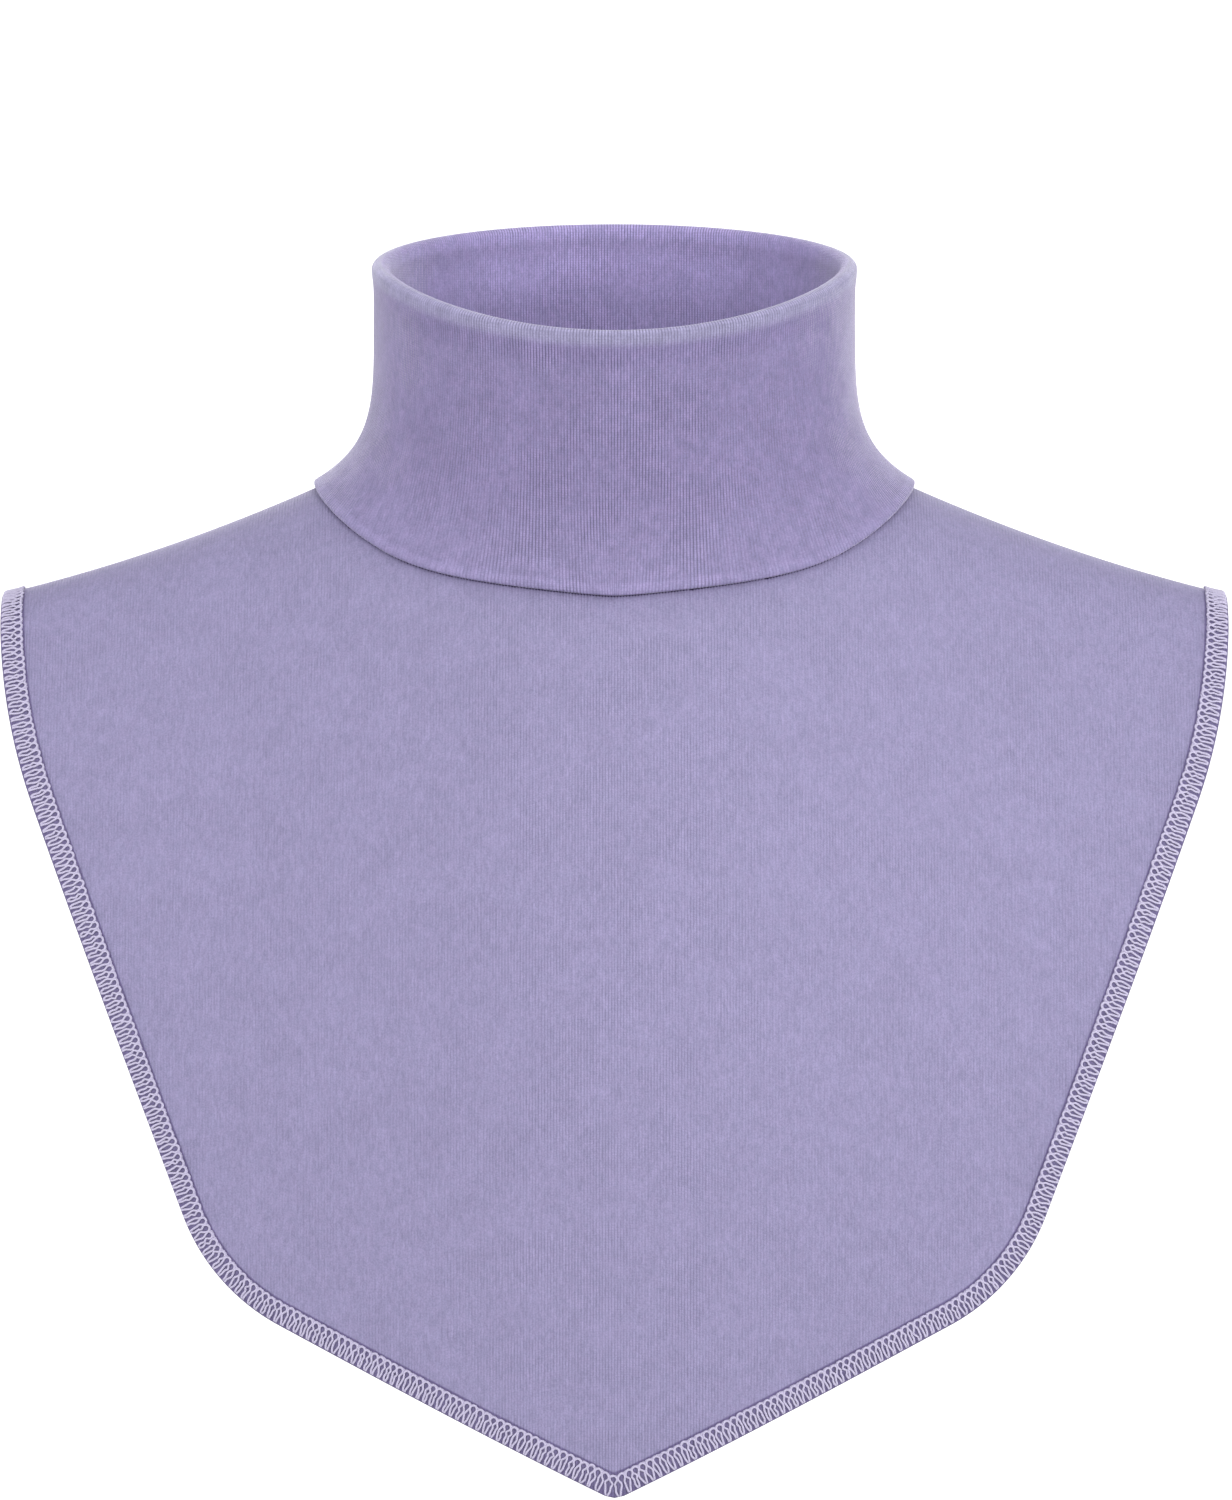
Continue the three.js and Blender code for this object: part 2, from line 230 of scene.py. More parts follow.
def round_corner(before, corner, after, radius, steps):
    """Points of the arc that rounds a corner. It takes no more than half of either side."""
    to_before, to_after = before - corner, after - corner
    room = min(np.linalg.norm(to_before), np.linalg.norm(to_after)) / 2
    to_before, to_after = unit(to_before), unit(to_after)
    half = math.acos(np.clip(to_before @ to_after, -1, 1)) / 2
    setback = min(radius / math.tan(half), room)
    centre = corner + unit(to_before + to_after) * setback / math.cos(half)
    start = corner + to_before * setback - centre
    end = corner + to_after * setback - centre
    swept = math.acos(np.clip(unit(start) @ unit(end), -1, 1))
    share = np.linspace(0, 1, steps)[:, None]
    return centre + (np.sin((1 - share) * swept) * start + np.sin(share * swept) * end) / math.sin(swept)


def half_outline(cut, side):
    """Half of a panel's outline from the shoulder's end to its point, as flat places."""
    steps = 60
    shoulder = np.array([BIB_HALF_WIDTH, float(ridge_height(BIB_HALF_WIDTH))])
    bend = np.array([BIB_HALF_WIDTH, -cut["length"] * cut["bend"]])
    corner = np.array([BIB_HALF_WIDTH * cut["corner_across"], -cut["length"] * cut["corner"]])
    tip = np.array([0.0, -cut["length"]])
    far_corner = corner * (-1, 1)
    # The side is drawn on past the shoulder, so that the bend's round may take all of it.
    points = [
        shoulder[None],
        round_corner(2 * shoulder - bend, bend, corner, cut["length"] * cut["bend_round"], steps),
        round_corner(bend, corner, tip, cut["length"] * cut["corner_round"], steps),
        round_corner(corner, tip, far_corner, TIP_ROUND, 2 * steps + 1)[:steps + 1],
    ]
    line = resample(np.concatenate(points), 0.25 * MM)
    drop = ridge_height(line[:, 0]) - line[:, 1]
    length = Section(line[:, 0], side).length_at_drop(np.maximum(drop, 0))
    return np.stack([line[:, 0], length], axis=-1)


def resample(line, spacing):
    """Evenly spaced points along an open line."""
    lengths = np.concatenate([[0], np.cumsum(np.linalg.norm(np.diff(line, axis=0), axis=1))])
    keep = np.concatenate([[True], np.diff(lengths) > 1e-9])
    wanted = np.linspace(0, lengths[-1], max(int(lengths[-1] / spacing), 2))
    return np.stack([np.interp(wanted, lengths[keep], line[keep, i]) for i in range(line.shape[1])], axis=-1)


class Ring:
    """The bib's whole outline as a closed line of flat places, with the way in to the neck at each."""

    def __init__(self):
        front = half_outline(CUT["front"], LIE["front"])
        back = half_outline(CUT["back"], LIE["back"])
        quarters = [front[:-1], (front * (-1, 1))[:0:-1], (back * (-1, -1))[:-1], (back * (1, -1))[:0:-1]]
        self.points = np.concatenate(quarters)
        self.count = len(self.points)
        steps = np.linalg.norm(np.roll(self.points, -1, axis=0) - self.points, axis=1)
        self.length = steps.sum()
        self.at = np.concatenate([[0], np.cumsum(steps)])
        along = np.roll(self.points, -1, axis=0) - np.roll(self.points, 1, axis=0)
        square = np.stack([along[:, 1], -along[:, 0]], axis=-1)
        reach = int(WAY_IN_BLEND / (self.length / self.count))
        kernel = np.hanning(2 * reach + 3)[1:-1]
        tripled = np.tile(unit(square), (3, 1))
        smooth = [np.convolve(tripled[:, i], kernel, "same")[self.count:-self.count] for i in (0, 1)]
        square = unit(np.stack(smooth, axis=-1))
        if (self.points[0] * square[0]).sum() > 0:
            square = -square
        self.inward = self.square_over_cloth(square)
        sewn = self.place(self.at, np.full(self.count + 1, NEEDLE_LINE))
        laid = lay(sewn[:, 0], sewn[:, 1])
        self.sewn = np.concatenate([[0], np.cumsum(np.linalg.norm(np.diff(laid, axis=0), axis=1))])

    def square_over_cloth(self, square):
        """The flat step that goes one unit in over the laid cloth, square to its edge."""
        x, y = self.points.T
        close = 0.5 * MM
        by_x = (lay(x + close, y) - lay(x - close, y)) / (2 * close)
        by_y = (lay(x, y + close) - lay(x, y - close)) / (2 * close)
        xx, xy, yy = (by_x ** 2).sum(-1), (by_x * by_y).sum(-1), (by_y ** 2).sum(-1)
        raised = [yy * square[:, 0] - xy * square[:, 1], xx * square[:, 1] - xy * square[:, 0]]
        step = np.stack(raised, axis=-1) / (xx * yy - xy ** 2)[:, None]
        return step / np.sqrt((step * square).sum(-1, keepdims=True))

    def place(self, where, inset):
        """Flat places at lengths round the ring, set in from the edge."""
        where = np.mod(where, self.length)
        closed = np.concatenate([self.points, self.points[:1]])
        inward = np.concatenate([self.inward, self.inward[:1]])
        edge = np.stack([np.interp(where, self.at, closed[:, i]) for i in (0, 1)], axis=-1)
        way_in = np.stack([np.interp(where, self.at, inward[:, i]) for i in (0, 1)], axis=-1)
        return edge + way_in * np.asarray(inset)[..., None]

    def where_sewn(self, share):
        """Lengths round the ring at shares of the needle's line, along which the cloth was fed evenly."""
        whole = np.floor(share)
        return whole * self.length + np.interp((share - whole) * self.sewn[-1], self.sewn, self.at)


# Meshes

def mesh_object(name, points, faces, material, **layers):
    """A smooth mesh object. Each layer holds one pair of numbers for each point."""
    mesh = bpy.data.meshes.new(name)
    mesh.from_pydata([], [], [])
    mesh.vertices.add(len(points))
    mesh.vertices.foreach_set("co", np.asarray(points, np.float32).ravel())
    faces = np.asarray(faces, np.int32)
    mesh.loops.add(faces.size)
    mesh.loops.foreach_set("vertex_index", faces.ravel())
    mesh.polygons.add(len(faces))
    mesh.polygons.foreach_set("loop_start", np.arange(len(faces), dtype=np.int32) * faces.shape[1])
    mesh.update(calc_edges=True)
    mesh.shade_smooth()
    for layer_name, pairs in layers.items():
        layer = mesh.uv_layers.new(name=layer_name)
        layer.data.foreach_set("uv", np.asarray(pairs, np.float32)[faces.ravel()].ravel())
    mesh.validate()
    mesh.materials.append(material)
    made = bpy.data.objects.new(name, mesh)
    bpy.context.scene.collection.objects.link(made)
    return made


def grid_faces(stations, size):
    """Faces of a body that is closed both ways round: rings of points, the same number in each."""
    i, j = np.meshgrid(np.arange(stations), np.arange(size), indexing="ij")
    k, m = (i + 1) % stations, (j + 1) % size
    return np.stack([i * size + j, k * size + j, k * size + m, i * size + m], axis=-1).reshape(-1, 4)


def make_bib(ring, material):
    stations, rows, lip, collar_steps = 560, 56, 5, 1200
    where = np.arange(stations) * ring.length / stations
    angle = 2 * np.pi * np.arange(stations) / stations
    neck = flat_on_oval(angle, NECK_HALF_WIDTH, NECK_FRONT_DEPTH, NECK_BACK_DEPTH)
    edge = ring.place(where, np.full(stations, CUT_INSET))
    share = np.linspace(0, 1, rows)[None, :, None]
    flat = neck[:, None] * (1 - share) + edge[:, None] * share
    turn = np.linspace(0, np.pi, lip + 2)[1:-1]
    middle = -BIB_WALL / 2

    def layer(height):
        return lay_at(flat[..., 0], flat[..., 1], np.full(flat.shape[:2], height))

    def lip_at(column, outward):
        place = flat[:, column][:, None] + outward[:, None] * (np.sin(turn) * BIB_WALL / 2)[None, :, None]
        height = np.broadcast_to(middle + np.cos(turn) * BIB_WALL / 2, place.shape[:2])
        return place, lay_at(place[..., 0], place[..., 1], height)

    way_out = unit(edge - neck)
    outer_flat, outer = lip_at(-1, way_out)
    inner_flat, inner = lip_at(0, -way_out)
    points = np.concatenate([layer(0.0), outer, layer(-BIB_WALL)[:, ::-1], inner[:, ::-1]], axis=1)
    uv = np.concatenate([flat, outer_flat, flat[:, ::-1], inner_flat[:, ::-1]], axis=1)
    laid = lay(flat[..., 0], flat[..., 1])
    # Distances to the cut edge and to the collar's edge, which place the painted shade under the overlock and
    # the painted shadow under the collar's edge
    from_edge = distance_to(lay(*ring.points.T), laid, ZONE_REACH)
    collar_edge = flat_under_collar_edge(np.linspace(0, 2 * np.pi, collar_steps, endpoint=False))
    from_collar = distance_to(lay(*collar_edge.T), laid, ZONE_REACH)
    # Cloth nearer the neck's middle than the collar's edge is covered, and its distance is negative.
    abreast = nearest(collar_edge, flat)
    covered = np.hypot(flat[..., 0], flat[..., 1]) < np.hypot(abreast[..., 0], abreast[..., 1])
    from_collar = np.where(covered, -from_collar, from_collar)
    top = np.stack([from_edge, from_collar], axis=-1)
    lip_top = np.broadcast_to(np.array([0.0, ZONE_REACH]), outer_flat.shape)
    under = np.broadcast_to(np.array([0.0, ZONE_REACH]), flat.shape) + from_edge[..., None] * (1, 0)
    lip_under = np.broadcast_to(np.array([ZONE_REACH, -ZONE_REACH]), inner_flat.shape)
    zones = np.concatenate([top, lip_top, under[:, ::-1], lip_under], axis=1)
    faces = grid_faces(stations, points.shape[1])
    return mesh_object("knit_bib", points.reshape(-1, 3), faces, material,
                       cloth=uv.reshape(-1, 2), zones=zones.reshape(-1, 2))


def nearest(line, places):
    """For each place, the point of a closed line that has about the same bearing from the neck's middle."""
    bearing = np.arctan2(line[:, 1], line[:, 0])
    order = np.argsort(bearing)
    wanted = np.arctan2(places[..., 1], places[..., 0])
    columns = [np.interp(wanted, bearing[order], line[order, i], period=2 * np.pi) for i in (0, 1)]
    return np.stack(columns, axis=-1)


def distance_to(line, places, most):
    """Distances from places to a closed line, cut off at the most that is of use."""
    batch = 2000
    spots = places.reshape(-1, places.shape[-1])
    distance = np.full(len(spots), np.inf)
    for start in range(0, len(spots), batch):
        part = spots[start:start + batch]
        step = line[None, ::2] - part[:, None]
        distance[start:start + batch] = np.sqrt((step ** 2).sum(-1).min(axis=1))
    return np.minimum(distance, most).reshape(places.shape[:-1])


def collar_line(angle, rows):
    """The middle line of the collar's cloth at each angle: up the stand, over the rim and down to its edge.
    Returns points as (angle, row, 3) and the way out at each angle."""
    stand_rows, fold_rows, down_rows = rows
    sine, cosine = np.sin(angle), np.cos(angle)
    depth = np.where(sine < 0, NECK_BACK_DEPTH, NECK_FRONT_DEPTH)
    outward = unit(np.stack([cosine / NECK_HALF_WIDTH, -sine / depth, 0 * angle], axis=-1))
    neck = flat_on_oval(angle, NECK_HALF_WIDTH, NECK_FRONT_DEPTH, NECK_BACK_DEPTH)
    foot = lay(neck[:, 0], neck[:, 1]) + outward * COLLAR_WALL / 2
    foot[:, 2] = height_over_bib(foot, SEAM_GAP)
    fold = (COLLAR_WALL + AIR_IN_FOLD) / 2
    rim_depth = (NECK_FRONT_DEPTH + NECK_BACK_DEPTH) / 2 + RIM_FORWARD / 2
    rim_x = (NECK_HALF_WIDTH + COLLAR_WALL / 2) * cosine
    rim_y = -RIM_FORWARD - (rim_depth + COLLAR_WALL / 2) * sine
    sag = RIM_SAG_AT_FRONT * np.maximum(sine, 0) ** 2
    crest = RIM_HEIGHT + math.tan(math.radians(RIM_TILT)) * (rim_y + RIM_FORWARD) - sag
    rim_z = crest - fold - COLLAR_WALL / 2
    rim = np.stack([rim_x, rim_y, rim_z], axis=-1)
    edge_flat = flat_under_collar_edge(angle)
    slope = face_normal(edge_flat[:, 0], edge_flat[:, 1])
    edge = lay(edge_flat[:, 0], edge_flat[:, 1]) + slope * (REST_GAP + COLLAR_WALL / 2)
    share = np.linspace(0, 1, stand_rows)[None, :, None]
    stand = foot[:, None] * (1 - share) + rim[:, None] * share
    turn = (np.pi * np.arange(1, fold_rows) / fold_rows)[None, :, None]
    moved_out = outward[:, None] * fold * (1 - np.cos(turn))
    over = rim[:, None] + moved_out + np.array([0, 0, 1]) * fold * np.sin(turn)

    def hang(part):
        z = rim[:, 2][:, None] * (1 - part) + edge[:, 2][:, None] * part
        down = ((rim[:, 2][:, None] - z) / (rim[:, 2] - foot[:, 2])[:, None])[..., None]
        return rim[:, None] * (1 - down) + foot[:, None] * down + outward[:, None] * 2 * fold

    spread = edge - hang(np.ones((1, 1)))[:, 0]
    steepness = (slope * outward).sum(-1) / slope[:, 2] + LANDING_SLOPE
    latest = (rim[:, 2] - edge[:, 2]) / (np.linalg.norm(spread, axis=-1) * steepness)
    lateness = np.minimum(FLARE_LATENESS, latest)
    # Rows stand closer together near the rim.
    crowding = 1.3
    part = np.linspace(0, 1, down_rows)[None, :] ** crowding
    down = hang(part) + spread[:, None] * (part ** lateness[:, None])[..., None]
    fallen = rim[:, 2][:, None] - down[..., 2]
    down += outward[:, None] * (RIM_ROLL * np.exp(-(fallen / RIM_ROLL_HEIGHT) ** 2))[..., None]
    over += outward[:, None] * RIM_ROLL * np.sin(turn / 2) ** 2
    return np.concatenate([stand, over, down], axis=1), outward


def height_over_bib(points, gap):
    flat = flat_under(points[:, 0], points[:, 1])
    normal = face_normal(flat[:, 0], flat[:, 1])
    return lay(flat[:, 0], flat[:, 1])[:, 2] + gap / normal[:, 2]


def make_collar(material):
    stations, lip = 420, 7
    angle = 2 * np.pi * np.arange(stations) / stations
    stand_rows, fold_rows, down_rows = 24, 14, 60
    line, outward = collar_line(angle, (stand_rows, fold_rows, down_rows))
    run = np.gradient(line, axis=1)
    out = (run * outward[:, None]).sum(-1)
    normal = unit(outward[:, None] * -run[..., 2:] + np.array([0, 0, 1]) * out[..., None])
    shown = line + normal * COLLAR_WALL / 2
    hidden = line - normal * COLLAR_WALL / 2
    # The turned-down edge is a fold of the doubled cloth, so it is round.
    turn = np.linspace(0, np.pi, lip + 2)[1:-1][None, :, None]
    ahead = unit(line[:, -1] - line[:, -2])
    round_edge = line[:, -1][:, None] + COLLAR_WALL / 2 * (
        normal[:, -1][:, None] * np.cos(turn) + ahead[:, None] * np.sin(turn))
    points = np.concatenate([shown, round_edge, hidden[:, ::-1]], axis=1)
    rim_step = np.linalg.norm(np.roll(line[:, stand_rows], -1, axis=0) - line[:, stand_rows], axis=1)
    round_rim = np.concatenate([[0], np.cumsum(rim_step)])
    row_step = np.linalg.norm(np.diff(line, axis=1), axis=2)
    down = np.concatenate([np.zeros((stations, 1)), np.cumsum(row_step, axis=1)], axis=1)
    past = down[:, -1:] + np.linspace(0, 1, lip + 2)[None, 1:-1] * COLLAR_WALL
    v = np.concatenate([down, past, 2 * down[:, -1:] + COLLAR_WALL - down[:, ::-1]], axis=1)
    u = np.broadcast_to(round_rim[:-1, None], v.shape)
    ribs = round(round_rim[-1] / RIB_PITCH)
    u = u * ribs * RIB_PITCH / round_rim[-1]
    # Distances past the rim's crest and to the turned edge, which place the collar's painted highlights,
    # painted light and painted shade
    crest = down[:, stand_rows + fold_rows // 2 - 1][:, None]
    end = down[:, -1:] + COLLAR_WALL / 2
    past_rim = np.where(v < end, v - crest, 2 * end - v - crest)
    from_edge = v - end
    zones = np.stack([past_rim, from_edge], axis=-1)
    return closed_grid("knit_collar", points, u, v, ribs * RIB_PITCH, material, zones)


def closed_grid(name, points, u, v, u_length, material, zones):
    """A body closed both ways round, whose u runs on to its full length over the last station."""
    stations, size = points.shape[:2]
    faces = grid_faces(stations, size)
    made = mesh_object(name, points.reshape(-1, 3), faces, material, zones=zones.reshape(-1, 2))
    layer = made.data.uv_layers.new(name="cloth")
    flat_u, flat_v = np.ascontiguousarray(u).ravel(), np.ascontiguousarray(v).ravel()
    corner_u, corner_v = flat_u[faces], flat_v[faces]
    last = faces // size == 0
    from_last = (faces // size).max(axis=1, keepdims=True) == stations - 1
    corner_u = np.where(last & from_last, corner_u + u_length, corner_u)
    layer.data.foreach_set("uv", np.stack([corner_u, corner_v], axis=-1).astype(np.float32).ravel())
    return made


# Threads

def tube(name, path, away, radius, sides, material):
    """A closed thread along a path. away points away from the cloth at each point of it."""
    least_across = 0.3
    passes = 6
    along = unit(np.roll(path, -1, axis=0) - np.roll(path, 1, axis=0))
    across = np.cross(along, away)
    # Where the thread turns straight through the cloth, the frame keeps the direction of its neighbours.
    weak = np.linalg.norm(across, axis=1) < least_across
    across[weak] = 0
    for _ in range(passes):
        spread = np.roll(across, 1, axis=0) + np.roll(across, -1, axis=0)
        across[weak] = (across + spread)[weak]
    across = unit(across - along * (across * along).sum(-1, keepdims=True) + 1e-12)
    for i in range(1, len(across)):
        if across[i] @ across[i - 1] < 0:
            across[i] = -across[i]
    up = np.cross(across, along)
    turn = 2 * np.pi * np.arange(sides) / sides
    points = path[:, None] + radius * (
        across[:, None] * np.cos(turn)[None, :, None] + up[:, None] * np.sin(turn)[None, :, None])
    lengths = np.concatenate([[0], np.cumsum(np.linalg.norm(np.diff(path, axis=0), axis=1))])
    v = np.broadcast_to(lengths[:, None], (len(path), sides))
    u = np.broadcast_to(turn[None, :] * radius, v.shape)
    faces = grid_faces(len(path), sides)
    uv = np.stack([u, v], axis=-1).reshape(-1, 2)
    return mesh_object(name, points.reshape(-1, 3), faces, material, cloth=uv)


def stitch_path(ring, stitch, jitter, seed, phase=0.0):
    """A thread that repeats one stitch round the edge. stitch lists (share of the pitch, inset, height)."""
    random = np.random.default_rng(seed)
    count = round(ring.sewn[-1] / STITCH_PITCH)
    side, inset, height = (np.array(column) for column in zip(*stitch))
    # Each stitch leans and reaches a little differently, and its legs bow as the thread was slack or tight.
    lean = random.normal(0, jitter, (count, 1)) * (inset / NEEDLE_LINE)[None]
    legs = np.clip(1 - np.abs(inset / LEG_MIDDLE - 1), 0, 1)
    bow = random.normal(0, LEG_BOW * jitter, (count, len(side))) * legs[None]
    deep = random.normal(0, jitter * 2 * MM, (count, 1)) * (inset / NEEDLE_LINE)[None] ** 2
    where = ring.where_sewn((np.arange(count)[:, None] + phase + side[None] + lean + bow) / count)
    insets = inset[None] + deep
    flat = ring.place(where.ravel(), insets.ravel())
    heights = np.broadcast_to(height, where.shape).ravel()
    return lay_at(flat[:, 0], flat[:, 1], heights), face_normal(flat[:, 0], flat[:, 1])


def smooth_closed(path, away, per_step):
    """A closed Catmull-Rom line through the points, with per_step points for each."""
    p0, p1, p2, p3 = (np.roll(path, shift, axis=0)[:, None] for shift in (1, 0, -1, -2))
    t = (np.arange(per_step) / per_step)[None, :, None]
    line = 0.5 * (2 * p1 + (p2 - p0) * t + (2 * p0 - 5 * p1 + 4 * p2 - p3) * t ** 2
                  + (3 * p1 - p0 - 3 * p2 + p3) * t ** 3)
    n1, n2 = away[:, None], np.roll(away, -1, axis=0)[:, None]
    return line.reshape(-1, 3), unit((n1 * (1 - t) + n2 * t).reshape(-1, 3))


def upper_loop():
    """The upper looper's stitch: round the cut edge, over the cloth to a head, and back beside itself."""
    top = THREAD_RADIUS + 0.05 * MM
    half = [
        (-0.50, 0.05 * MM, -BIB_WALL * 0.6),
        (-0.38, 0.35 * MM, top * 0.7),
        (-0.28, 1.30 * MM, top * 1.2),
        (-0.25, 2.45 * MM, top),
        (-0.17, 3.30 * MM, top * 1.1),
        (-0.39, 4.05 * MM, top * 1.0),
        (-0.44, 4.75 * MM, top * 1.2),
        (-0.27, 5.30 * MM, top * 1.3),
    ]
    head = (0.0, 5.50 * MM, top * 1.3)
    return half + [head] + [(-side, inset, height) for side, inset, height in reversed(half[1:])]


def lower_loop():
    """The lower looper's stitch: the same under the cloth, and a short turn over the cut edge."""
    under = -BIB_WALL - THREAD_RADIUS - 0.05 * MM
    half = [
        (-0.50, 0.25 * MM, -BIB_WALL * 0.45),
        (-0.40, 0.12 * MM, -BIB_WALL * 0.75),
        (-0.32, 0.45 * MM, under * 0.95),
        (-0.28, 1.30 * MM, under),
        (-0.24, 2.30 * MM, under),
        (-0.15, 3.30 * MM, under),
        (-0.34, 4.20 * MM, under),
    ]
    head = (0.0, 5.10 * MM, under)
    return half + [head] + [(-side, inset, height) for side, inset, height in reversed(half[1:])]


def needle_stitch():
    """The needle's stitch: a run between two loop heads, and down into the cloth under each."""
    return [
        (-0.50, NEEDLE_LINE - 0.25 * MM, THREAD_RADIUS * 0.6),
        (-0.25, NEEDLE_LINE - 0.10 * MM, THREAD_RADIUS * 0.5),
        (0.00, NEEDLE_LINE, -THREAD_RADIUS * 0.8),
        (0.25, NEEDLE_LINE - 0.10 * MM, THREAD_RADIUS * 0.5),
    ]


def make_threads(ring, material):
    threads = [
        ("upper_looper_thread", upper_loop(), 0.05, 11, 0.0, 2),
        ("lower_looper_thread", lower_loop(), 0.05, 12, 0.5, 2),
        ("needle_thread", needle_stitch(), 0.03, 13, 0.0, 2),
    ]
    made = []
    for name, stitch, jitter, seed, phase, per_step in threads:
        path, away = stitch_path(ring, stitch, jitter, seed, phase)
        path, away = smooth_closed(path, away, per_step)
        made.append(tube(name, path, away, THREAD_RADIUS, 5, material))
    return made


# Materials

class Shader:
    """A small helper that adds nodes to one material."""

    def __init__(self, name):
        self.material = bpy.data.materials.new(name)
        self.material.use_nodes = True
        self.nodes = self.material.node_tree.nodes
        self.links = self.material.node_tree.links
        self.principled = self.nodes["Principled BSDF"]

    def link(self, value, socket):
        if isinstance(value, (int, float, tuple)):
            socket.default_value = value
        else:
            self.links.new(value, socket)

    def math(self, operation, a, b=0.0, c=0.0):
        node = self.nodes.new("ShaderNodeMath")
        node.operation = operation
        for value, socket in zip((a, b, c), node.inputs):
            self.link(value, socket)
        return node.outputs[0]

    def ramp(self, value, low, high, low_out=0.0, high_out=1.0):
        node = self.nodes.new("ShaderNodeMapRange")
        node.interpolation_type = "SMOOTHSTEP"
        self.link(value, node.inputs["Value"])
        node.inputs["From Min"].default_value = low
        node.inputs["From Max"].default_value = high
        node.inputs["To Min"].default_value = low_out
        node.inputs["To Max"].default_value = high_out
        return node.outputs["Result"]

    def noise(self, vector, scale, detail=2.0, roughness=0.5):
        node = self.nodes.new("ShaderNodeTexNoise")
        node.inputs["Scale"].default_value = scale
        node.inputs["Detail"].default_value = detail
        node.inputs["Roughness"].default_value = roughness
        self.link(vector, node.inputs["Vector"])
        return node.outputs["Fac"]

    def mix(self, factor, a, b):
        node = self.nodes.new("ShaderNodeMix")
        node.data_type = "RGBA"
        self.link(factor, node.inputs["Factor"])
        self.link(a, node.inputs["A"])
        self.link(b, node.inputs["B"])
        return node.outputs["Result"]

    def shade(self, colour, amount):
        """A colour made darker or lighter by a number near 1."""
        node = self.nodes.new("ShaderNodeVectorMath")
        node.operation = "SCALE"
        self.link(colour, node.inputs[0])
        self.link(amount, node.inputs["Scale"])
        return node.outputs["Vector"]

    def paint_light_and_shade(self, colour, tone):
        """A colour given painted light, or painted shade that darkens towards violet, as shade on the dyed
        cloth does.
        """
        lighter = self.math("MAXIMUM", tone, 1.0)
        darker = self.math("MINIMUM", tone, 1.0)
        powers = self.nodes.new("ShaderNodeCombineXYZ")
        for axis, power in (("X", 1.0), ("Y", 1.14), ("Z", 0.82)):
            toned = self.math("MULTIPLY", self.math("POWER", darker, power), lighter)
            self.links.new(toned, powers.inputs[axis])
        node = self.nodes.new("ShaderNodeVectorMath")
        node.operation = "MULTIPLY"
        self.links.new(colour, node.inputs[0])
        self.links.new(powers.outputs[0], node.inputs[1])
        return node.outputs["Vector"]

    def uv(self, name):
        node = self.nodes.new("ShaderNodeUVMap")
        node.uv_map = name
        split = self.nodes.new("ShaderNodeSeparateXYZ")
        self.links.new(node.outputs["UV"], split.inputs[0])
        return split.outputs["X"], split.outputs["Y"]

    def stretched(self, u, v, u_scale, v_scale):
        """A place on the cloth for noise that is drawn out one way."""
        node = self.nodes.new("ShaderNodeCombineXYZ")
        self.links.new(self.math("MULTIPLY", u, u_scale), node.inputs["X"])
        self.links.new(self.math("MULTIPLY", v, v_scale), node.inputs["Y"])
        return node.outputs[0]

    def across(self, place):
        """How far to either side of the middle a place is."""
        split = self.nodes.new("ShaderNodeSeparateXYZ")
        self.links.new(place, split.inputs[0])
        return self.math("ABSOLUTE", split.outputs["X"])

    def place(self):
        node = self.nodes.new("ShaderNodeTexCoord")
        return node.outputs["Object"]

    def bump(self, height, distance, strength=1.0):
        node = self.nodes.new("ShaderNodeBump")
        node.inputs["Strength"].default_value = strength
        node.inputs["Distance"].default_value = distance
        self.link(height, node.inputs["Height"])
        self.links.new(node.outputs["Normal"], self.principled.inputs["Normal"])


